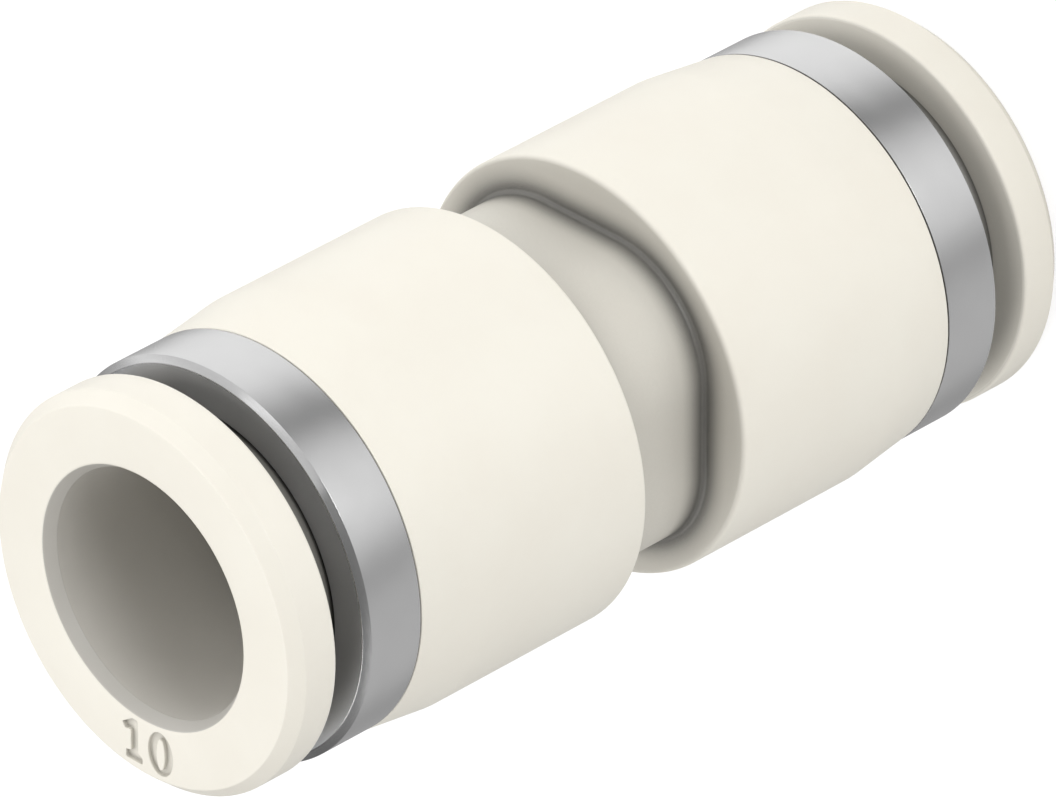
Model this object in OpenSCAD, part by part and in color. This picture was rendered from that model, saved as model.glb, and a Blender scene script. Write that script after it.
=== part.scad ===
/* [Tube] */
// Outside diameter of the tube that is pushed in
tube_d = 10; // [8:0.1:12]
// Gap all round between the tube and the bores that guide it
tube_clearance = 0.1; // [0.05:0.01:0.2]
// Length of the housing's bore that guides the end of the tube
guide_len = 4.35; // [3:0.05:6]
// Chamfer at the mouth of the guide bore
guide_chamfer = 0.3; // [0.1:0.05:0.6]
// Thickness of the wall between the two tube stops
stop_wall = 3.97; // [2:0.01:8]
// Width of the ledge that stops the tube
stop_ledge = 1.35; // [0.8:0.05:2]

/* [Release rings] */
// Thickness of the sleeve that reaches in from the flange
sleeve_wall = 1.2; // [1:0.05:1.5]
// How far the flange stands out beyond the sleeve
flange_reach = 1.9; // [1.5:0.05:2.5]
// Thickness of the flange
flange_t = 2.13; // [1.5:0.01:3]
// Width of the bevel round the flange's front face
bevel_w = 0.47; // [0.2:0.01:0.8]
// Depth of the bevel round the flange's front face
bevel_depth = 0.55; // [0.2:0.01:0.8]
// Radius of the flange's back edge
back_round = 0.18; // [0.05:0.01:0.4]
// Width of the chamfer at the mouth of the ring
mouth_w = 0.3; // [0.1:0.01:0.6]
// Depth of the chamfer at the mouth of the ring
mouth_depth = 0.5; // [0.2:0.01:1]
// Open gap between the flange and the collar
release_gap = 1.52; // [1:0.01:2]
// What is left of that gap when the ring is pushed right in
pushed_gap = 0.12; // [0.05:0.01:0.3]
// Radius of the fillet where the sleeve meets the flange
neck_fillet = 0.2; // [0.05:0.01:0.4]
// Height of the catch that keeps the ring in the collar
catch_h = 0.45; // [0.2:0.01:0.6]
// Length of the catch's full-height land
catch_len = 0.7; // [0.4:0.01:1]
// Flat left at the tip of the sleeve's nose
nose_land = 0.2; // [0.1:0.01:0.4]

/* [Collars] */
// Length of the band that shows
band_len = 2.75; // [2:0.01:4]
// Step from the collar's inner sleeve out to the band
band_step = 0.92; // [0.6:0.01:1.2]
// Width of the shallow chamfer round the collar's front face
front_w = 0.28; // [0.1:0.01:0.5]
// Depth of the shallow chamfer round the collar's front face
front_depth = 0.13; // [0.05:0.01:0.4]
// Radius of the bead between the front face and its chamfer
bead_r = 0.1; // [0.05:0.01:0.2]
// Chamfer at the back edge of the band
band_back = 0.04; // [0.02:0.01:0.2]
// Thickness of the lip that holds the release ring
lip_t = 1.5; // [1:0.05:2]
// Chamfer at the front of that lip
lip_chamfer = 0.15; // [0.05:0.01:0.3]
// Wall of the collar's inner sleeve
collar_wall = 0.48; // [0.4:0.01:0.8]
// Length of the collar's sleeve inside the housing
collar_sleeve_len = 1.85; // [1.6:0.05:3]
// Height of the ridge that snaps into the housing
snap_h = 0.15; // [0.05:0.01:0.25]
// Length of the ridge that snaps into the housing
snap_len = 0.6; // [0.4:0.05:0.8]

/* [Grip rings] */
// Thickness of the spring steel sheet
grip_t = 0.3; // [0.2:0.01:0.4]
// Angle of the teeth from the rim's plane
tooth_angle = 45; // [35:1:50]
// How far the teeth would bite into the tube
tooth_bite = 0.05; // [0.02:0.01:0.1]
// Number of teeth
tooth_count = 12; // [6:1:16]
// Width of the slots between the teeth
slot_w = 0.8; // [0.4:0.05:1]
// Distance from the sleeve's outside to the bend at the teeth's root
root_step = 0.1; // [0.05:0.01:0.2]

/* [Support rings and seals] */
// Length of the ring that backs the grip ring
support_len = 2.95; // [2.5:0.05:4]
// Radial step from the tube bore out to the support ring's bore
support_step = 0.1; // [0.05:0.01:0.3]
// Width of the flat rim that faces the grip ring
support_rim = 0.73; // [0.4:0.01:1]
// Angle of the cone that leaves room for the teeth
support_angle = 53; // [50:1:58]
// Length of the seal
seal_len = 2.55; // [2:0.05:4]
// How far the seal's lips reach past the tube's surface
seal_squeeze = 0.1; // [0.05:0.01:0.15]
// Radius of the seal's rounded lips
lip_r = 0.45; // [0.3:0.01:0.55]
// Depth of the hollow between the seal's lips
seal_hollow = 0.3; // [0.1:0.01:0.4]

/* [Housing] */
// Wall round the socket, at the barrel
barrel_wall = 1.26; // [1:0.01:2]
// How much the barrel narrows to meet the collar
taper_in = 0.36; // [0.1:0.01:0.6]
// Length of the taper
taper_len = 3; // [2:0.05:5]
// Radius of the barrel's edge at the waist
rim_round = 0.2; // [0.05:0.01:0.5]
// Length of the waist between the barrels
waist_len = 5.2; // [3:0.01:7]
// Wall between the tube bore and the flats of the waist
waist_wall = 1.38; // [1:0.01:2]
// Radius of the waist's four corners
waist_corner = 4.6; // [3:0.05:6]
// Radius of the fillet at each end of the waist
waist_fillet = 0.19; // [0.1:0.01:0.5]

/* [Clearances] */
// Gap all round the release ring's sleeve where it slides in the collar
slide_clearance = 0.05; // [0.02:0.01:0.1]
// Gap all round the release ring's catch inside the collar
catch_clearance = 0.1; // [0.05:0.01:0.1]
// Gap all round the grip ring where it turns in the socket
turn_clearance = 0.1; // [0.05:0.01:0.1]
// Gap round and between the pieces that are pressed into the socket
seat_clearance = 0.02; // [0.01:0.01:0.05]
// Gap between pieces that lie behind one another
end_clearance = 0.05; // [0.02:0.01:0.1]
// Seam that shows between the collar and the housing
seam = 0.06; // [0.02:0.01:0.2]
// Gap left between the sleeve's nose and the teeth when it is pushed in
nose_gap = 0.15; // [0.1:0.01:0.3]

/* [Hidden] */
$fn = 96;
small_fn = 24;
over = 1;

// Radii, worked outwards from the tube
tube_r = tube_d / 2;
bore_r = tube_r + tube_clearance;
sleeve_r = bore_r + sleeve_wall;
flange_r = sleeve_r + flange_reach;
lip_bore_r = sleeve_r + slide_clearance;
catch_r = sleeve_r + catch_h;
recess_r = catch_r + catch_clearance;
collar_sleeve_r = recess_r + collar_wall;
band_r = collar_sleeve_r + band_step;
socket_r = collar_sleeve_r + seat_clearance;
barrel_r = socket_r + barrel_wall;
taper_r = barrel_r - taper_in;
waist_half = bore_r + waist_wall;
flow_r = bore_r - stop_ledge;
grip_rim_r = socket_r - turn_clearance;
grip_root_r = sleeve_r + root_step;
grip_tip_r = tube_r - tooth_bite;
support_bore_r = bore_r + support_step;
support_r = socket_r - seat_clearance;
seal_tip_r = tube_r - seal_squeeze;

// Depths, measured inwards from the release ring's front face
collar_at = flange_t + release_gap;
band_end = collar_at + band_len;
housing_at = band_end + seam;
collar_end = band_end + collar_sleeve_len;
catch_at = collar_at + lip_t + end_clearance;
grip_at = collar_end + end_clearance;
support_at = grip_at + grip_t + end_clearance;
seal_at = support_at + support_len + end_clearance;
guide_at = seal_at + seal_len + end_clearance;
stop_at = guide_at + guide_len;
fitting_len = 2 * stop_at + stop_wall;
barrel_end = (fitting_len - waist_len) / 2;
snap_at = band_end + (collar_sleeve_len - snap_len) / 2;

// Travel of a release ring, and the nose that then stops just short of the teeth
travel = release_gap - pushed_gap;
tooth_slope = tan(tooth_angle);
tooth_axial_t = grip_t / cos(tooth_angle);
nose_r = bore_r + nose_land;
nose_at = grip_at + (grip_root_r - nose_r) * tooth_slope - nose_gap - travel;
nose_root = nose_at - (sleeve_r - nose_r) * tooth_slope;

// Places a piece drawn from z = 0 inwards at the lower or the upper end
module at_end(upper) {
  if (upper) translate([0, 0, fitting_len]) mirror([0, 0, 1]) children();
  else children();
}

// A concave fillet in the corner between a wall at x = 0 and a floor at y = 0
module fillet_profile(r) {
  difference() {
    translate([-r, -r]) square(2 * r);
    translate([r, r]) circle(r, $fn = small_fn);
    translate([r, -over]) square([over, 2 * over + r]);
    translate([-over, r]) square([2 * over + r, over]);
  }
}

// A release ring: flange, sleeve, catch and nose
module release_ring(upper) {
  at_end(upper) rotate_extrude() {
    polygon([
      [bore_r + mouth_w, 0],
      [flange_r - bevel_w, 0],
      [flange_r, bevel_depth],
      [flange_r, flange_t - back_round],
      [flange_r - back_round, flange_t],
      [sleeve_r, flange_t],
      [sleeve_r, catch_at],
      [catch_r, catch_at],
      [catch_r, catch_at + catch_len],
      [sleeve_r, catch_at + catch_len + catch_h],
      [sleeve_r, nose_root],
      [nose_r, nose_at],
      [bore_r, nose_at],
      [bore_r, mouth_depth]
    ]);
    translate([flange_r - back_round, flange_t - back_round]) circle(back_round, $fn = small_fn);
    translate([sleeve_r, flange_t]) fillet_profile(neck_fillet);
  }
}

// The band's cross-section, from the front face back to the seam
module band_profile() {
  front_r = band_r - front_w;
  difference() {
    union() {
      polygon([
        [lip_bore_r + lip_chamfer, collar_at],
        [front_r - bead_r, collar_at],
        [front_r, collar_at + bead_r / 2],
        [band_r, collar_at + front_depth],
        [band_r, band_end - band_back],
        [band_r - band_back, band_end],
        [lip_bore_r, band_end],
        [lip_bore_r, collar_at + lip_chamfer]
      ]);
      translate([front_r - bead_r, collar_at + bead_r]) circle(bead_r, $fn = small_fn);
    }
    translate([0, collar_at + lip_t]) square([recess_r, band_len]);
  }
}

// The ridge on the collar's sleeve, and with a gap the groove that it snaps into
module snap_profile(gap) {
  polygon([
    [recess_r + collar_wall / 2, snap_at - gap],
    [collar_sleeve_r, snap_at - gap],
    [collar_sleeve_r + snap_h + gap, snap_at + snap_len / 4 - gap],
    [collar_sleeve_r + snap_h + gap, snap_at + snap_len / 2 + gap],
    [collar_sleeve_r, snap_at + snap_len + gap],
    [recess_r + collar_wall / 2, snap_at + snap_len + gap]
  ]);
}

// A retaining collar: the band that shows and the sleeve pressed into the housing
module collar(upper) {
  at_end(upper) rotate_extrude() {
    band_profile();
    translate([recess_r, collar_at + lip_t])
      square([collar_wall, collar_end - collar_at - lip_t]);
    snap_profile(0);
  }
}

// A grip ring: a flat rim and sprung teeth that lean inwards
module grip_ring(upper) {
  tip_drop = (grip_root_r - grip_tip_r) * tooth_slope;
  bend_r = grip_root_r + (tooth_axial_t - grip_t) / tooth_slope;
  slot_end_r = grip_root_r - slot_w / 2;
  at_end(upper) difference() {
    rotate_extrude() polygon([
      [grip_root_r, grip_at],
      [grip_rim_r, grip_at],
      [grip_rim_r, grip_at + grip_t],
      [bend_r, grip_at + grip_t],
      [grip_tip_r, grip_at + tip_drop + tooth_axial_t],
      [grip_tip_r, grip_at + tip_drop]
    ]);
    for (i = [0 : tooth_count - 1]) rotate([0, 0, (i + 0.5) * 360 / tooth_count]) {
      translate([grip_tip_r - over, -slot_w / 2, grip_at])
        cube([slot_end_r - grip_tip_r + over, slot_w, tip_drop + tooth_axial_t + over]);
      translate([slot_end_r, 0, grip_at - over])
        cylinder(r = slot_w / 2, h = tip_drop + tooth_axial_t + 2 * over, $fn = small_fn);
    }
  }
}

// A support ring: a rim behind the grip ring and a cone that leaves room for the teeth
module support_ring(upper) {
  cone_r = support_r - support_rim;
  cone_depth = (cone_r - support_bore_r) * tan(support_angle);
  at_end(upper) rotate_extrude() polygon([
    [cone_r, support_at],
    [support_r, support_at],
    [support_r, support_at + support_len],
    [support_bore_r, support_at + support_len],
    [support_bore_r, support_at + cone_depth]
  ]);
}

// A seal: a rubber ring with two rounded lips on the tube and two on the socket
module seal(upper) {
  inner_r = seal_tip_r + lip_r;
  outer_r = support_r - lip_r;
  front = seal_at + lip_r;
  back = seal_at + seal_len - lip_r;
  hollow_r = pow((back - front) / 2, 2) / (2 * seal_hollow) + seal_hollow / 2;
  at_end(upper) rotate_extrude() difference() {
    union() {
      translate([inner_r - lip_r, front]) square([outer_r - inner_r + 2 * lip_r, back - front]);
      translate([inner_r, seal_at]) square([outer_r - inner_r, seal_len]);
      for (r = [inner_r, outer_r], z = [front, back]) translate([r, z]) circle(lip_r, $fn = small_fn);
    }
    for (r = [seal_tip_r + seal_hollow - hollow_r, support_r - seal_hollow + hollow_r])
      translate([r, (front + back) / 2]) circle(hollow_r);
  }
}

// The waist's rounded square, grown by a margin
module waist_outline(grow) {
  flat = waist_half - waist_corner;
  half = waist_half + grow;
  translate([-half, -flat]) square([2 * half, 2 * flat]);
  translate([-flat, -half]) square([2 * flat, 2 * half]);
  for (x = [-flat, flat], y = [-flat, flat]) translate([x, y]) circle(waist_corner + grow);
}

// The fillet that runs round the waist where it meets a barrel
module waist_root() {
  flat = waist_half - waist_corner;
  for (i = [0 : 3]) rotate([0, 0, 90 * i]) {
    translate([flat, flat, 0]) rotate_extrude(angle = 90)
      translate([waist_corner, 0]) fillet_profile(waist_fillet);
    translate([waist_half, flat, 0]) rotate([90, 0, 0])
      linear_extrude(2 * flat) fillet_profile(waist_fillet);
  }
}

// One barrel, with its taper and its rounded edge at the waist
module barrel() {
  rotate_extrude() {
    polygon([
      [0, housing_at],
      [taper_r, housing_at],
      [barrel_r, housing_at + taper_len],
      [barrel_r, barrel_end - rim_round],
      [barrel_r - rim_round, barrel_end],
      [0, barrel_end]
    ]);
    translate([barrel_r - rim_round, barrel_end - rim_round]) circle(rim_round, $fn = small_fn);
  }
}

// The stepped hole in one end: socket, snap groove, guide bore
module socket() {
  rotate_extrude() {
    polygon([
      [0, housing_at - over],
      [socket_r, housing_at - over],
      [socket_r, guide_at],
      [bore_r + guide_chamfer, guide_at],
      [bore_r, guide_at + guide_chamfer],
      [bore_r, stop_at],
      [0, stop_at]
    ]);
    snap_profile(seat_clearance);
  }
}

// The moulded housing, one piece from collar to collar
module housing() {
  color([0.96, 0.95, 0.9]) difference() {
    union() {
      for (upper = [false, true]) at_end(upper) {
        barrel();
        translate([0, 0, barrel_end]) waist_root();
      }
      translate([0, 0, barrel_end - over])
        linear_extrude(waist_len + 2 * over) waist_outline(0);
    }
    for (upper = [false, true]) at_end(upper) socket();
    translate([0, 0, stop_at - over]) cylinder(r = flow_r, h = stop_wall + 2 * over);
  }
}

module upper_collar() {
  color([0.72, 0.73, 0.75]) collar(true);
}

module lower_collar() {
  color([0.72, 0.73, 0.75]) collar(false);
}

module upper_release_ring() {
  color([0.96, 0.94, 0.89]) release_ring(true);
}

module lower_release_ring() {
  color([0.96, 0.94, 0.89]) release_ring(false);
}

module upper_grip_ring() {
  color([0.6, 0.61, 0.63]) grip_ring(true);
}

module lower_grip_ring() {
  color([0.6, 0.61, 0.63]) grip_ring(false);
}

module upper_support_ring() {
  color([0.9, 0.89, 0.85]) support_ring(true);
}

module lower_support_ring() {
  color([0.9, 0.89, 0.85]) support_ring(false);
}

module upper_seal() {
  color([0.1, 0.1, 0.1]) seal(true);
}

module lower_seal() {
  color([0.1, 0.1, 0.1]) seal(false);
}

housing();
upper_collar();
lower_collar();
upper_release_ring();
lower_release_ring();
upper_grip_ring();
lower_grip_ring();
upper_support_ring();
lower_support_ring();
upper_seal();
lower_seal();
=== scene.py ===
import math

import bmesh
import bpy
import numpy as np
from mathutils import Matrix, Vector


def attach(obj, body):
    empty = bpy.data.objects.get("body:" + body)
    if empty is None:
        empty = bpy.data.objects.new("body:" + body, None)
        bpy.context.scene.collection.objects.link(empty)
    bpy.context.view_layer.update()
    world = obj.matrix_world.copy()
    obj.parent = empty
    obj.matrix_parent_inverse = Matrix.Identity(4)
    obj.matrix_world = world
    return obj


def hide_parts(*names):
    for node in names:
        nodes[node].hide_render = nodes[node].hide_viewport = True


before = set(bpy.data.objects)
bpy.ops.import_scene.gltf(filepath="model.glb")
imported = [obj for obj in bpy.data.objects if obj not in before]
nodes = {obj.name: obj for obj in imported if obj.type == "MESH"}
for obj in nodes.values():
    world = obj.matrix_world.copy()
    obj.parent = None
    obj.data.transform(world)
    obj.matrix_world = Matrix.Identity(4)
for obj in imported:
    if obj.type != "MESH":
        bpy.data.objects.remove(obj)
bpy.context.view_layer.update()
mm = 0.001
print("frame loaded with", len(nodes), "CAD nodes")


# helpers for shader nodes

def addNode(tree, kind, inputs=None, **settings):
    node = tree.nodes.new(kind)
    for key, value in settings.items():
        setattr(node, key, value)
    for key, value in (inputs or {}).items():
        if isinstance(value, bpy.types.NodeSocket):
            tree.links.new(value, node.inputs[key])
        else:
            node.inputs[key].default_value = value
    return node


def emptyMaterial(name):
    material = bpy.data.materials.new(name)
    material.use_nodes = True
    material.node_tree.nodes.clear()
    return material, material.node_tree


def finishMaterial(tree, shader):
    addNode(tree, "ShaderNodeOutputMaterial", {"Surface": shader})


def calculate(tree, operation, a, b, clamp=False):
    made = addNode(tree, "ShaderNodeMath", {0: a, 1: b}, operation=operation, use_clamp=clamp)
    return made.outputs[0]


def noise(tree, place, size, detail, roughness):
    # size is the size of one feature in mm
    made = addNode(tree, "ShaderNodeTexNoise", {
        "Vector": place, "Scale": 1 / (size * mm), "Detail": detail, "Roughness": roughness})
    return made.outputs["Fac"]


def remap(tree, value, low, high, fromLow=0.3, fromHigh=0.7):
    # noise stays mostly between 0.3 and 0.7
    made = addNode(tree, "ShaderNodeMapRange", {
        "Value": value, "From Min": fromLow, "From Max": fromHigh, "To Min": low, "To Max": high})
    return made.outputs["Result"]


def tint(tree, factor, colourA, colourB):
    made = addNode(tree, "ShaderNodeMix", data_type="RGBA")
    tree.links.new(factor, made.inputs[0])
    for slot, colour in ((6, colourA), (7, colourB)):
        if isinstance(colour, bpy.types.NodeSocket):
            tree.links.new(colour, made.inputs[slot])
        else:
            made.inputs[slot].default_value = (*colour, 1)
    return made.outputs[2]


def bump(tree, height, depth, under=None):
    # depth is how deep the full range of the height goes, in mm
    inputs = {"Height": height, "Distance": depth * mm, "Strength": 1.0}
    if under is not None:
        inputs["Normal"] = under
    return addNode(tree, "ShaderNodeBump", inputs).outputs["Normal"]


# how the painted shade of a recess and a tight corner falls off: a curve over 1 keeps the dark to
# the deepest places
shading = {"recessCurve": 0.5, "creaseCurve": 1.3, "samples": 8}


def hiddenShare(tree, reach, share, curve, alone):
    # 0 in the open, up to share where little of the sky is seen within reach, in mm;
    # alone leaves out the other pieces, so that a piece on a joint takes its shade along
    seen = addNode(tree, "ShaderNodeAmbientOcclusion", {"Distance": reach * mm},
                   samples=shading["samples"], only_local=alone)
    hidden = calculate(tree, "SUBTRACT", 1.0, seen.outputs["AO"], clamp=True)
    hidden = calculate(tree, "POWER", hidden, curve)
    return calculate(tree, "MULTIPLY", hidden, share, clamp=True)


def paintRecessShade(tree, colour, look, alone):
    # painted shade: the colour darkens in hollows and tight corners, where less light reaches
    curve = look.get("recessCurve", shading["recessCurve"])
    hollow = hiddenShare(tree, look["recessReach"], look["recessShare"], curve, alone)
    colour = tint(tree, hollow, colour, look["recess"])
    if "crease" in look:
        corner = hiddenShare(tree, look["creaseReach"], look["creaseShare"],
                             shading["creaseCurve"], alone)
        colour = tint(tree, corner, colour, look["crease"])
    # painted shade that the mesh carries from row to row, for corners that stay dark all round
    for shade, deep in look.get("paintedRowShades", {}).items():
        row = addNode(tree, "ShaderNodeAttribute", attribute_name=shade)
        inner = calculate(tree, "MULTIPLY", row.outputs["Fac"], deep)
        colour = tint(tree, inner, colour, look["crease"])
    return colour


# the moulded plastics: fine eroded grain, faint cloudiness, uneven gloss

# in each plastic and rubber look, recess and crease are the colours of painted shade in hollows
# and tight corners
housingPlastic = {
    "name": "creamHousingPlastic",
    "colour": (0.875, 0.836, 0.742), "cloud": (0.892, 0.860, 0.768), "cloudSize": 4.0,
    "gloss": (0.42, 0.52), "grainSize": 0.07, "grainDepth": 0.0011,
    "waveSize": 1.4, "waveDepth": 0.0016, "ior": 1.52, "sheen": 0.0, "alone": True,
    "recess": (0.27, 0.260, 0.245), "recessReach": 6.0, "recessShare": 0.66,
    "crease": (0.03, 0.03, 0.029), "creaseReach": 1.2, "creaseShare": 3.0,
    # the row shades are painted shade: a dark line round the waist's root and a darker waist
    "paintedRowShades": {"paintedCornerShade": 0.60, "paintedWaistShade": 0.17},
}
ringPlastic = {
    "name": "creamRingPlastic",
    "colour": (0.870, 0.832, 0.740), "cloud": (0.890, 0.855, 0.764), "cloudSize": 3.0,
    "gloss": (0.40, 0.50), "grainSize": 0.06, "grainDepth": 0.0009,
    "waveSize": 1.2, "waveDepth": 0.0012, "ior": 1.52, "sheen": 0.0, "alone": True,
    # painted shade with a long reach, which darkens the ring's bore and mouth
    "recess": (0.27, 0.26, 0.24), "recessReach": 12.0, "recessShare": 0.70,
    "crease": (0.05, 0.05, 0.048), "creaseReach": 0.5, "creaseShare": 1.0,
}
# the bore and the mouth: the ring's own plastic, given a darker colour as painted shade inside the
# ring
boreShadedPlastic = {
    **ringPlastic, "name": "ringBoreShadedPlastic", "alone": False,
    "colour": (0.685, 0.660, 0.606), "cloud": (0.707, 0.682, 0.628),
    "recess": (0.16, 0.155, 0.145), "recessReach": 12.0, "recessShare": 0.15,
}
mouthShadedPlastic = {
    **boreShadedPlastic, "name": "ringMouthShadedPlastic",
    "colour": (0.540, 0.520, 0.478), "cloud": (0.558, 0.538, 0.495),
}
# the flange's back and the neck behind it: painted shade, near black, in the gap between the
# flange and the collar
ringBackPlastic = {
    **ringPlastic, "name": "ringBackPlastic", "alone": False,
    "recess": (0.05, 0.049, 0.047), "recessReach": 1.8, "recessShare": 1.0, "recessCurve": 2.0,
}
ringNeckPlastic = {
    **ringBackPlastic, "name": "ringNeckPlastic",
    "recess": (0.085, 0.083, 0.078), "recessReach": 5.0, "recessShare": 1.0, "recessCurve": 0.5,
}
# the engraved size mark: painted shade on the walls and floor of its grooves
markPlastic = {
    **ringPlastic, "name": "ringMarkPlastic",
    "recessReach": 0.3, "recessShare": 0.62, "creaseShare": 0.3,
}
supportPlastic = {
    "name": "naturalSupportPlastic",
    "colour": (0.80, 0.79, 0.74), "cloud": (0.86, 0.85, 0.81), "cloudSize": 1.8,
    "gloss": (0.30, 0.42), "grainSize": 0.05, "grainDepth": 0.0006,
    "waveSize": 0.8, "waveDepth": 0.0010, "ior": 1.48, "sheen": 0.0, "alone": True,
    "recess": (0.40, 0.39, 0.36), "recessReach": 4.0, "recessShare": 0.5,
}
sealRubber = {
    "name": "blackSealRubber",
    "colour": (0.018, 0.018, 0.019), "cloud": (0.032, 0.031, 0.030), "cloudSize": 0.6,
    "gloss": (0.48, 0.68), "grainSize": 0.03, "grainDepth": 0.0022,
    "waveSize": 0.5, "waveDepth": 0.0020, "ior": 1.50, "sheen": 0.25, "alone": True,
    "recess": (0.010, 0.010, 0.010), "recessReach": 2.0, "recessShare": 0.5,
}


def mouldedMaterial(look):
    material, tree = emptyMaterial(look["name"])
    place = addNode(tree, "ShaderNodeTexCoord").outputs["Object"]
    cloud = noise(tree, place, look["cloudSize"], detail=3.0, roughness=0.55)
    grain = noise(tree, place, look["grainSize"], detail=2.0, roughness=0.6)
    wave = noise(tree, place, look["waveSize"], detail=1.0, roughness=0.4)
    normal = bump(tree, wave, look["waveDepth"])
    normal = bump(tree, grain, look["grainDepth"], under=normal)
    body = tint(tree, remap(tree, cloud, 0, 1), look["colour"], look["cloud"])
    shader = addNode(tree, "ShaderNodeBsdfPrincipled", {
        "Base Color": paintRecessShade(tree, body, look, look["alone"]),
        "Roughness": remap(tree, grain, *look["gloss"]),
        "Normal": normal, "IOR": look["ior"], "Sheen Weight": look["sheen"]})
    finishMaterial(tree, shader.outputs[0])
    return material


# the metals: turned lines run round the axis, rolled lines run straight; the specks are
# fine pits between them, and worn is where the lines and clouds make the gloss uneven

metal = {
    "lineDetail": 2.0, "speckSize": 0.12, "speckDepth": 0.6, "worn": (0.1, 0.45),
    "stretchTurn": 0.25,  # a quarter turn, so that the gloss is drawn out along the axis
}
# recess is the colour of the painted shade in the gaps beside each metal piece
collarSteel = {
    "name": "turnedCollarSteel", "lines": "round",
    "colour": (0.56, 0.56, 0.56), "dark": (0.53, 0.53, 0.53), "cloudSize": 2.5,
    "lineSize": 0.045, "lineDepth": 0.00022, "gloss": (0.21, 0.27), "anisotropy": 0.8,
    "recess": (0.05, 0.05, 0.05), "recessReach": 3.0, "recessShare": 0.7,
}
# the collar's front face: a copy of the collar steel, its colour set for this face's brightness,
# with a strong painted shade towards the release ring's flange
collarFaceSteel = {
    **collarSteel, "name": "turnedCollarFaceSteel",
    "colour": (0.66, 0.67, 0.70), "dark": (0.63, 0.64, 0.67),
    "gloss": (0.30, 0.36), "anisotropy": 0.5,
    "recess": (0.01, 0.01, 0.01), "recessReach": 2.2, "recessShare": 0.55, "recessCurve": 1.6,
}
springSteel = {
    "name": "rolledSpringSteel", "lines": "straight",
    "colour": (0.46, 0.46, 0.46), "dark": (0.38, 0.38, 0.38), "cloudSize": 1.2,
    "lineSize": 0.03, "lineDepth": 0.0005, "gloss": (0.28, 0.42), "anisotropy": 0.5,
    "recess": (0.08, 0.08, 0.08), "recessReach": 2.0, "recessShare": 0.5,
}


def metalMaterial(look):
    material, tree = emptyMaterial(look["name"])
    place = addNode(tree, "ShaderNodeTexCoord").outputs["Object"]
    parts = addNode(tree, "ShaderNodeSeparateXYZ", {"Vector": place})
    if look["lines"] == "round":
        flat = addNode(tree, "ShaderNodeCombineXYZ", {
            "X": parts.outputs["X"], "Y": parts.outputs["Y"]})
        radius = addNode(tree, "ShaderNodeVectorMath", {0: flat.outputs[0]}, operation="LENGTH")
        across = calculate(tree, "ADD", parts.outputs["Z"], radius.outputs["Value"])
    else:
        across = parts.outputs["Y"]
    lines = addNode(tree, "ShaderNodeTexNoise", {
        "W": across, "Scale": 1 / (look["lineSize"] * mm), "Detail": metal["lineDetail"]},
        noise_dimensions="1D").outputs["Fac"]
    cloud = noise(tree, place, look["cloudSize"], detail=3.0, roughness=0.6)
    speck = noise(tree, place, metal["speckSize"], detail=2.0, roughness=0.6)
    worn = calculate(tree, "MULTIPLY", lines, cloud)
    normal = bump(tree, speck, look["lineDepth"] * metal["speckDepth"])
    normal = bump(tree, lines, look["lineDepth"], under=normal)
    body = tint(tree, remap(tree, cloud, 0, 1), look["dark"], look["colour"])
    around = addNode(tree, "ShaderNodeTangent", direction_type="RADIAL", axis="Z")
    shader = addNode(tree, "ShaderNodeBsdfPrincipled", {
        "Base Color": paintRecessShade(tree, body, look, alone=False),
        "Metallic": 1.0, "Roughness": remap(tree, worn, *look["gloss"], *metal["worn"]),
        "Normal": normal, "Tangent": around.outputs[0],
        "Anisotropic": look["anisotropy"], "Anisotropic Rotation": metal["stretchTurn"]})
    finishMaterial(tree, shader.outputs[0])
    return material


finishes = {
    "housing": mouldedMaterial(housingPlastic),
    "release_ring": mouldedMaterial(ringPlastic),
    "ring_bore": mouldedMaterial(boreShadedPlastic),
    "ring_mouth": mouldedMaterial(mouthShadedPlastic),
    "ring_back": mouldedMaterial(ringBackPlastic),
    "ring_neck": mouldedMaterial(ringNeckPlastic),
    "ring_mark": mouldedMaterial(markPlastic),
    "support_ring": mouldedMaterial(supportPlastic),
    "seal": mouldedMaterial(sealRubber),
    "collar": metalMaterial(collarSteel),
    "collar_face": metalMaterial(collarFaceSteel),
    "grip_ring": metalMaterial(springSteel),
}


for name, node in nodes.items():
    kind = name.removeprefix("upper_").removeprefix("lower_")
    node.data.materials.clear()
    node.data.materials.append(finishes[kind])
print("finishes given to the CAD nodes")


# helpers for turned and moulded shapes; a row is one ring of points round the axis

fitting = {
    "length": 41.17, "columns": 288, "longestStep": 1.2, "roundSteps": 5,
    "sharpAngle": 32, "flatWeight": 100,  # where edges stay crisp, and how flat faces stay
}


def weighNormals(piece):
    piece.data.set_sharp_from_angle(angle=math.radians(fitting["sharpAngle"]))
    weigh = piece.modifiers.new("evenShading", "WEIGHTED_NORMAL")
    weigh.keep_sharp = True
    weigh.weight = fitting["flatWeight"]


def roundCorners(corners, steps=fitting["roundSteps"]):
    # corners are (x, y) or (x, y, radius of the round there), as one closed loop
    points = []
    for i, (x, y, *rest) in enumerate(corners):
        corner = Vector((x, y))
        radius = rest[0] if rest else 0
        if radius == 0:
            points.append((x, y))
            continue
        before = (Vector(corners[i - 1][:2]) - corner).normalized()
        after = (Vector(corners[(i + 1) % len(corners)][:2]) - corner).normalized()
        half = before.angle(after) / 2
        reach = radius / math.tan(half)
        centre = corner + (before + after).normalized() * radius / math.sin(half)
        start, end = corner + before * reach - centre, corner + after * reach - centre
        turn = math.atan2(start.x * end.y - start.y * end.x, start.dot(end))
        for k in range(steps + 1):
            c, s = math.cos(turn * k / steps), math.sin(turn * k / steps)
            points.append((centre.x + start.x * c - start.y * s,
                           centre.y + start.x * s + start.y * c))
    return points


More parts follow.
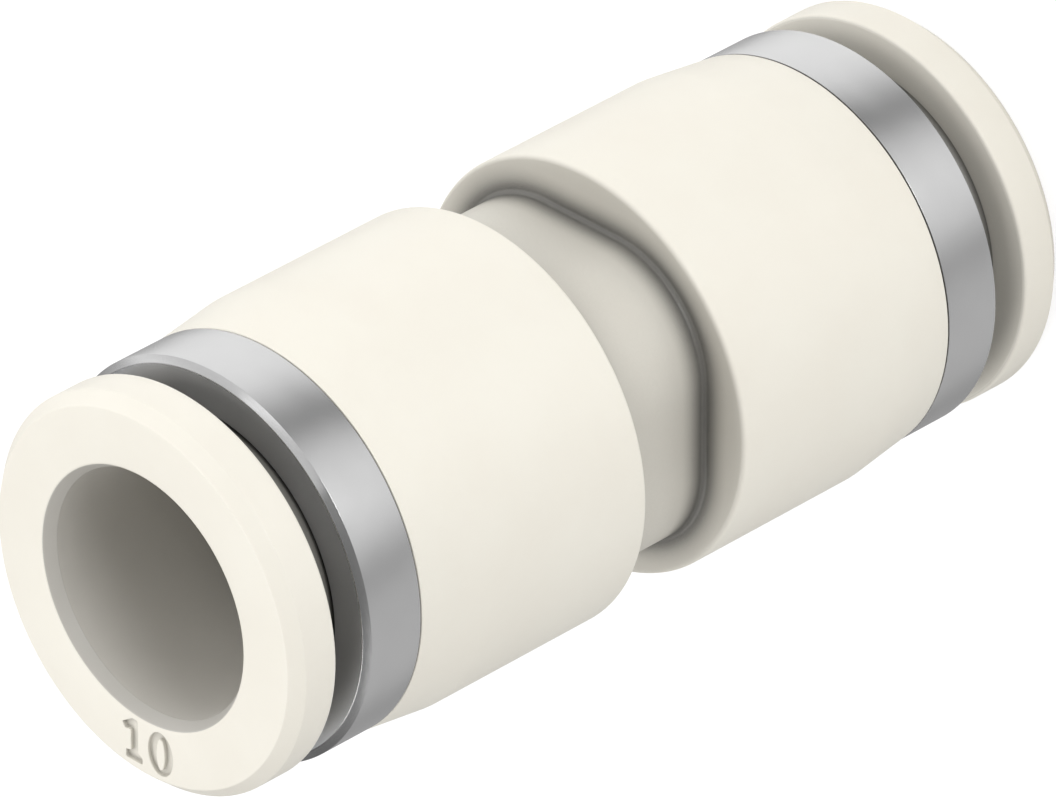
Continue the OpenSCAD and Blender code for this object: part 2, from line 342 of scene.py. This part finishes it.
def splitLong(points, step, closed=True):
    # a line of points with its long stretches cut into equal parts
    split = []
    for here, there in zip(points, points[1:] + points[:1] if closed else points[1:]):
        here, there = np.array(here, float), np.array(there, float)
        count = max(1, math.ceil(np.linalg.norm(there - here) / step))
        split += [here + (there - here) * k / count for k in range(count)]
    return np.array(split)


def columnTurns():
    return np.arange(fitting["columns"]) * 2 * math.pi / fitting["columns"]


def meshFromRows(name, radii, depths, upper, shades=None):
    # radii has one line of columns for each row; the last row joins the first.
    # the lower end is the upper one turned over, half a turn round the y axis
    turns = columnTurns()
    side = 1 if upper else -1
    z = fitting["length"] - depths if upper else depths
    x, y = side * radii * np.cos(turns), radii * np.sin(turns)
    points = np.stack([x, y, np.broadcast_to(z[:, None], x.shape)], axis=2).reshape(-1, 3) * mm
    high, wide = radii.shape
    i, j = np.meshgrid(np.arange(high), np.arange(wide), indexing="ij")
    nextI, nextJ = (i + 1) % high, (j + 1) % wide
    corners = [i * wide + j, nextI * wide + j, nextI * wide + nextJ, i * wide + nextJ]
    mesh = bpy.data.meshes.new(name)
    mesh.from_pydata(points.tolist(), [], np.stack(corners, axis=2).reshape(-1, 4).tolist())
    for shade, rows in (shades or {}).items():
        carried = mesh.attributes.new(shade, "FLOAT", "POINT")
        carried.data.foreach_set("value", np.repeat(rows, wide))
    return mesh


def inZone(zone, place):
    # a zone gives its lowest and highest radius, depth behind the end and y, in mm
    return all(low < place[key] < high for key, (low, high) in zone.items())


def addPiece(name, mesh, finish, zones=None):
    # zones are the parts of the piece with a finish of their own; a later one wins
    zones = zones or {}
    mesh.materials.clear()
    for each in (finish, *zones):
        mesh.materials.append(finishes[each])
    mesh.polygons.foreach_set("use_smooth", [True] * len(mesh.polygons))
    for face in mesh.polygons:
        x, y, z = face.center / mm
        place = {"radius": math.hypot(x, y), "depth": min(z, fitting["length"] - z), "y": y}
        inside = [i + 1 for i, zone in enumerate(zones.values()) if inZone(zone, place)]
        face.material_index = inside[-1] if inside else 0
    piece = bpy.data.objects.new(name, mesh)
    bpy.context.scene.collection.objects.link(piece)
    weighNormals(piece)
    return piece


def turnedMesh(name, corners, upper):
    loop = splitLong(roundCorners(corners), fitting["longestStep"])
    radii = np.repeat(loop[:, :1], fitting["columns"], axis=1)
    return meshFromRows(name, radii, loop[:, 1], upper)


# the size of the tube, cut into the front face of each release ring

sizeMark = {
    # outline of the 1 on the front face, in mm, with its corner rounds; the axis is at 0, 0
    "one": [
        (-1.01, -7.44, 0.06), (-0.13, -7.44, 0.06), (-0.13, -7.17, 0.06), (-0.36, -7.04, 0.08),
        (-0.36, -5.60, 0.08), (-0.64, -5.60, 0.12), (-1.18, -5.95, 0.04), (-1.04, -6.18, 0.07),
        (-0.73, -6.11, 0.10), (-0.73, -7.05, 0.06), (-0.99, -7.10, 0.05)],
    # the 0 is the band between two ovals: middle x and y, half width, half height
    "zeroOutside": (0.862, -6.520, 0.665, 0.945), "zeroInside": (0.868, -6.535, 0.225, 0.690),
    "depth": 0.18, "rimRound": 0.030, "floorRound": 0.030, "spread": 0.030,
    "cornerSteps": 4, "ovalPoints": 96, "roundTurns": (15, 35, 55, 75),
    "above": 0.05,  # how far the cutter stands over the face
    "sliver": 0.0002,  # edges shorter than this are closed up after the cut
}


def oval(x, y, halfWidth, halfHeight):
    count = sizeMark["ovalPoints"]
    turns = np.arange(count) * 2 * math.pi / count
    return np.stack([x + halfWidth * np.cos(turns), y + halfHeight * np.sin(turns)], axis=1)


def grown(outline, distance):
    # a counterclockwise outline moved outwards
    edge = np.roll(outline, -1, axis=0) - outline
    after = np.stack([edge[:, 1], -edge[:, 0]], axis=1) / np.linalg.norm(edge, axis=1)[:, None]
    before = np.roll(after, 1, axis=0)
    share = 1 + (before * after).sum(1)
    return outline + distance * (before + after) / share[:, None]


def markLevels():
    # height over the face and growth of the outline, from above the face down to the floor
    rim, floor, depth = sizeMark["rimRound"], sizeMark["floorRound"], sizeMark["depth"]
    spread, above = sizeMark["spread"], sizeMark["above"]
    levels = [(above, spread + above)]
    for turn in np.radians(sizeMark["roundTurns"]):
        levels.append((-rim * (1 - math.cos(turn)), spread - rim * math.sin(turn)))
    for turn in np.radians([*sizeMark["roundTurns"], 90]):
        levels.append((-depth + floor * (1 - math.sin(turn)),
                       spread - rim - floor * (1 - math.cos(turn))))
    return levels


def buildCutter(upper):
    # each figure is its outlines, with 1 where it grows outwards and -1 for a hole in it
    one = np.array(roundCorners(sizeMark["one"], sizeMark["cornerSteps"]))
    zero = [(oval(*sizeMark["zeroOutside"]), 1), (oval(*sizeMark["zeroInside"]), -1)]
    points, faces = [], []
    side, base = (1, fitting["length"]) if upper else (-1, 0)
    levels = markLevels()
    for figure in ([(one, 1)], zero):
        starts = []
        for outline, grow in figure:
            start, count = len(points), len(outline)
            starts.append(start)
            for height, growth in levels:
                points += [(side * x, y, base + side * height)
                           for x, y in grown(outline, grow * growth)]
            for k in range(len(levels) - 1):
                low, high = start + k * count, start + (k + 1) * count
                for j in range(count):
                    n = (j + 1) % count
                    quad = (high + j, high + n, low + n, low + j)
                    faces.append(quad if grow > 0 else quad[::-1])
        last = (len(levels) - 1) * count
        if len(figure) == 1:
            faces.append(tuple(range(start, start + count)))
            faces.append(tuple(reversed(range(start + last, start + last + count))))
        else:
            out, hole = starts
            for j in range(count):
                n = (j + 1) % count
                faces.append((out + j, out + n, hole + n, hole + j))
                faces.append((hole + last + j, hole + last + n, out + last + n, out + last + j))
    mesh = bpy.data.meshes.new("markCutter")
    mesh.from_pydata([tuple(c * mm for c in p) for p in points], [], faces)
    cutter = bpy.data.objects.new("markCutter", mesh)
    bpy.context.scene.collection.objects.link(cutter)
    return cutter


def cutMark(mesh, upper):
    cutter = buildCutter(upper)
    blank = bpy.data.objects.new("markBlank", mesh)
    bpy.context.scene.collection.objects.link(blank)
    cut = blank.modifiers.new("sizeMark", "BOOLEAN")
    cut.operation, cut.solver, cut.object = "DIFFERENCE", "MANIFOLD", cutter
    graph = bpy.context.evaluated_depsgraph_get()
    made = bpy.data.meshes.new_from_object(blank.evaluated_get(graph))
    for helper in (blank, cutter):
        bpy.data.objects.remove(helper)
    tidy = bmesh.new()
    tidy.from_mesh(made)
    bmesh.ops.dissolve_degenerate(tidy, dist=sizeMark["sliver"] * mm, edges=tidy.edges)
    tidy.to_mesh(made)
    tidy.free()
    return made


# the release rings; a profile is radius, depth behind the front face and corner round, in mm;
# the mark is cut on the side of negative y

releaseRing = {
    "profile": [
        (5.40, 0.00, 0.14), (7.73, 0.00, 0.10), (8.20, 0.55, 0.10), (8.20, 2.13, 0.18),
        (6.30, 2.13, 0.20), (6.30, 5.20, 0.03), (6.75, 5.20, 0.04), (6.75, 5.90, 0.10),
        (6.30, 6.35, 0.10), (6.30, 6.85, 0.10), (5.30, 7.85, 0.05), (5.10, 7.85, 0.03),
        (5.10, 0.50, 0.10)],
    "zones": {
        "ring_bore": {"radius": (0, 5.42), "depth": (0.03, 8.0)},
        "ring_mouth": {"radius": (5.09, 5.42), "depth": (0.03, 0.52)},
        "ring_back": {"radius": (6.45, 8.1), "depth": (2.05, 2.4)},
        "ring_neck": {"radius": (5.5, 6.55), "depth": (2.1, 5.3)},
        "ring_mark": {"radius": (5.45, 7.73), "depth": (0.004, 0.3), "y": (-8.2, 0)},
    },
}

# the collars, from the lip's bore over the front face and band to the sleeve in the housing

collar = {
    "profile": [
        (6.50, 3.65, 0.03), (7.935, 3.65), (7.957, 3.653), (7.977, 3.6614), (7.995, 3.6746),
        (8.009, 3.692), (8.25, 3.848, 0.02), (8.25, 6.40, 0.02), (7.33, 6.40), (7.33, 7.025),
        (7.48, 7.175, 0.03), (7.48, 7.325, 0.03), (7.33, 7.625), (7.33, 8.25, 0.05),
        (6.85, 8.25, 0.05), (6.85, 5.15, 0.05), (6.35, 5.15, 0.03), (6.35, 3.80, 0.05)],
    "zones": {"collar_face": {"radius": (0, 7.94), "depth": (0, 3.68)}},
}


for end in ("upper", "lower"):
    upper = end == "upper"
    ringMesh = cutMark(turnedMesh(end + "RingBlank", releaseRing["profile"], upper), upper)
    ringMesh.name = end + "ReleaseRing"
    ring = addPiece(end + "ReleaseRing", ringMesh, "release_ring", releaseRing["zones"])
    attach(ring, end + "_ring")
    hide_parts(end + "_release_ring")
    bandMesh = turnedMesh(end + "Collar", collar["profile"], upper)
    band = addPiece(end + "Collar", bandMesh, "collar", collar["zones"])
    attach(band, "housing")
    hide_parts(end + "_collar")
    print(ring.name, len(ringMesh.polygons), "faces,", band.name, len(band.data.polygons), "faces")


# the housing: two round barrels, and between them a waist of a rounded square shape

housing = {
    "barrelRadius": 8.608, "barrelEnd": 17.985, "rimRound": 0.20,
    "waistHalf": 6.48, "waistCorner": 4.60, "waistFillet": 0.19,
    # from the middle of the waist's bore out to the barrel's rim: radius, depth and corner round
    "socket": [
        (3.75, 18.60, 0.08), (5.10, 18.60, 0.05), (5.10, 14.55, 0.10), (5.40, 14.25, 0.05),
        (7.35, 14.25, 0.05), (7.35, 7.61), (7.50, 7.345), (7.50, 7.155), (7.35, 7.02),
        (7.35, 6.46, 0.03), (8.25, 6.46, 0.04), (8.608, 9.46, 2.0)],
    "middleRows": 6, "faceRows": 6, "roundRows": 7,
}


def waistOutline(grow):
    # radius of the waist's rounded square at each column, grown outwards
    turns = columnTurns() % (math.pi / 2)
    c, s = np.cos(turns), np.sin(turns)
    half, corner = housing["waistHalf"] + grow, housing["waistCorner"] + grow
    flat = housing["waistHalf"] - housing["waistCorner"]
    almostZero = 1e-9  # keeps the divisions finite where a side isn't met
    side = np.where(half * s <= flat * c, half / np.maximum(c, almostZero), 0)
    side = np.where(half * c <= flat * s, half / np.maximum(s, almostZero), side)
    lean = flat * (c + s)
    bend = lean + np.sqrt(np.maximum(lean ** 2 - 2 * flat ** 2 + corner ** 2, 0))
    return np.where(side > 0, side, bend)


def housingRows():
    # one end's rows, from the middle of the bore to the middle of the waist, each one as
    # (radius at each column, depth, painted corner shade, painted waist shade)
    wide, middle, end = fitting["columns"], fitting["length"] / 2, housing["barrelEnd"]
    outside, rim, steps = housing["barrelRadius"], housing["rimRound"], housing["roundRows"]
    line = [(housing["socket"][0][0], middle), *housing["socket"], (outside, end - rim)]
    rows = [(np.full(wide, r), s, 0.0, 0.0)
            for r, s in splitLong(roundCorners(line), fitting["longestStep"], closed=False)]
    for k in range(steps + 1):
        turn = math.pi / 2 * k / steps
        rows.append((np.full(wide, outside - rim * (1 - math.cos(turn))),
                     end - rim * (1 - math.sin(turn)), 0.0, 0.0))
    fillet = housing["waistFillet"]
    edge, root = rows[-1][0], waistOutline(fillet)
    for k in range(1, housing["faceRows"]):
        rows.append((edge + (root - edge) * k / housing["faceRows"], end, 0.0, 0.0))
    # the fillet carries painted corner shade, darkest halfway round it, while the painted waist
    # shade rises to its full on the waist
    for k in range(steps + 1):
        turn = math.pi / 2 * k / steps
        rows.append((waistOutline(fillet * (1 - math.sin(turn))),
                     end + fillet * (1 - math.cos(turn)), math.sin(2 * turn), k / steps))
    start = end + fillet
    for k in range(1, housing["middleRows"]):
        depth = start + (middle - start) * k / housing["middleRows"]
        rows.append((waistOutline(0), depth, 0.0, 1.0))
    return rows


def buildHousing():
    rows, length = housingRows(), fitting["length"]
    rows += [(waistOutline(0), length / 2, 0.0, 1.0)]
    rows += [(r, length - s, *shades) for r, s, *shades in reversed(rows[:-1])][:-1]
    radii, depths, corner, waist = (np.array(part) for part in zip(*rows))
    shades = {"paintedCornerShade": corner, "paintedWaistShade": waist}
    mesh = meshFromRows("mouldedHousing", radii, depths, True, shades)
    return addPiece("mouldedHousing", mesh, "housing")


shell = buildHousing()
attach(shell, "housing")
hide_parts("housing")
print(shell.name, len(shell.data.polygons), "faces")


# the floor: white to the camera and in reflections, and it keeps the shadow

floorLook = {
    "size": 3000, "white": 0.86, "shadowShare": 0.30, "glow": 0.80, "reflected": 0.22,
}


def greyMatte(tree, level):
    return addNode(tree, "ShaderNodeBsdfDiffuse", {"Color": (level, level, level, 1)})


def buildFloor():
    half = floorLook["size"] / 2 * mm
    mesh = bpy.data.meshes.new("floor")
    mesh.from_pydata([(-half, -half, 0), (half, -half, 0), (half, half, 0), (-half, half, 0)],
                     [], [(0, 1, 2, 3)])
    floor = bpy.data.objects.new("floor", mesh)
    bpy.context.scene.collection.objects.link(floor)
    material, tree = emptyMaterial("paleFloor")
    matte = greyMatte(tree, floorLook["white"])
    share = greyMatte(tree, floorLook["shadowShare"])
    glow = addNode(tree, "ShaderNodeEmission", {"Strength": floorLook["glow"]})
    white = addNode(tree, "ShaderNodeAddShader", {0: share.outputs[0], 1: glow.outputs[0]})
    rays = addNode(tree, "ShaderNodeLightPath").outputs
    seen = calculate(tree, "MAXIMUM", rays["Is Camera Ray"], rays["Is Transmission Ray"])
    # a reflection shows the white floor and, through it, the studio's soft lights
    through = addNode(tree, "ShaderNodeBsdfTransparent")
    mirrored = addNode(tree, "ShaderNodeMixShader", {
        0: floorLook["reflected"], 1: through.outputs[0], 2: white.outputs[0]})
    mixed = addNode(tree, "ShaderNodeMixShader", {
        0: seen, 1: matte.outputs[0], 2: white.outputs[0]})
    mixed = addNode(tree, "ShaderNodeMixShader", {
        0: rays["Is Glossy Ray"], 1: mixed.outputs[0], 2: mirrored.outputs[0]})
    finishMaterial(tree, mixed.outputs[0])
    mesh.materials.append(material)


buildFloor()


# soft studio light: a pale sky with wide soft strips of light round the fitting, and lamps

skyLook = {
    "surround": 0.325, "overhead": 0.10,
    # heights are the sine of the angle over the floor: where the overhead light starts, and
    # where the strips have faded to their least share
    "overheadFrom": 0.35, "stripTop": 0.6, "stripLeast": 0.15,
    # the way each strip lies from the fitting and how far it reaches to each side, in degrees
    "strips": [
        {"azimuth": 40, "reach": 46, "strength": 1.06},
        {"azimuth": 146, "reach": 60, "strength": 1.40},
        {"azimuth": -44, "reach": 56, "strength": 0.46},
    ],
}
lampDistance = 500
lamps = {
    # direction from the fitting, size in mm and power in watts
    "leftLamp": {"direction": (-0.66, 0.24, 0.71), "size": 700, "power": 0.99},
    "lowLamp": {"direction": (-0.08, -0.56, 0.825), "size": 340, "power": 0.97},
    "sideLamp": {"direction": (0.755, 0.633, 0.17), "size": 200, "power": 0.695},
    "topLamp": {"direction": (0.03, 0.62, 0.78), "size": 440, "power": 0.44},
}


def buildSky():
    world = bpy.data.worlds.new("studio")
    bpy.context.scene.world = world
    world.use_nodes = True
    tree = world.node_tree
    tree.nodes.clear()

    def vectorMath(operation, a, b):
        return addNode(tree, "ShaderNodeVectorMath", {0: a, 1: b}, operation=operation).outputs

    def fade(value, start, end, low, high):
        return addNode(tree, "ShaderNodeMapRange", {
            "Value": value, "From Min": start, "From Max": end, "To Min": low, "To Max": high},
            interpolation_type="SMOOTHSTEP").outputs["Result"]

    direction = addNode(tree, "ShaderNodeTexCoord").outputs["Generated"]
    level = vectorMath("MULTIPLY", direction, (1, 1, 0))["Vector"]
    level = vectorMath("NORMALIZE", level, (0, 0, 0))["Vector"]
    height = vectorMath("DOT_PRODUCT", direction, (0, 0, 1))["Value"]
    strength = fade(height, skyLook["overheadFrom"], 1.0,
                    skyLook["surround"], skyLook["surround"] + skyLook["overhead"])
    low = fade(height, 0.0, skyLook["stripTop"], 1.0, skyLook["stripLeast"])
    for strip in skyLook["strips"]:
        turn = math.radians(strip["azimuth"])
        facing = vectorMath("DOT_PRODUCT", level, (math.cos(turn), math.sin(turn), 0))["Value"]
        glow = fade(facing, math.cos(math.radians(strip["reach"])), 1.0, 0.0, strip["strength"])
        glow = calculate(tree, "MULTIPLY", glow, low)
        strength = calculate(tree, "ADD", strength, glow)
    rays = addNode(tree, "ShaderNodeLightPath").outputs
    shown = addNode(tree, "ShaderNodeMix", {0: rays["Is Camera Ray"], 2: strength, 3: 1.0})
    background = addNode(tree, "ShaderNodeBackground", {"Strength": shown.outputs[0]})
    addNode(tree, "ShaderNodeOutputWorld", {"Surface": background.outputs[0]})


def addLamp(name, look):
    light = bpy.data.lights.new(name, "AREA")
    light.shape, light.size, light.energy = "DISK", look["size"] * mm, look["power"]
    lamp = bpy.data.objects.new(name, light)
    bpy.context.scene.collection.objects.link(lamp)
    direction = Vector(look["direction"]).normalized()
    middle = Vector((0, 0, fitting["length"] / 2 * mm))
    lamp.location = middle + direction * lampDistance * mm
    lamp.rotation_mode = "QUATERNION"
    lamp.rotation_quaternion = direction.to_track_quat("Z", "Y")


buildSky()
for name, look in lamps.items():
    addLamp(name, look)


# the camera, with the photograph's viewing angle

cameraLook = {
    "from": (334.87, 295.37, 355.73), "at": (0.10, -0.11, 21.01), "lens": 501.6,
    "sensorWidth": 36.0,
    "upward": (0, 1, 0),  # the world's y axis points up in the photograph
}


def buildCamera():
    data = bpy.data.cameras.new("camera")
    data.lens, data.sensor_width = cameraLook["lens"], cameraLook["sensorWidth"]
    camera = bpy.data.objects.new("camera", data)
    bpy.context.scene.collection.objects.link(camera)
    place = Vector(cameraLook["from"]) * mm
    back = (place - Vector(cameraLook["at"]) * mm).normalized()
    right = Vector(cameraLook["upward"]).cross(back).normalized()
    up = back.cross(right)
    turned = Matrix((right, up, back)).transposed().to_4x4()
    camera.matrix_world = Matrix.Translation(place) @ turned
    bpy.context.scene.camera = camera


buildCamera()
bpy.context.scene.view_settings.view_transform = "Standard"
print("stage, light and camera ready")
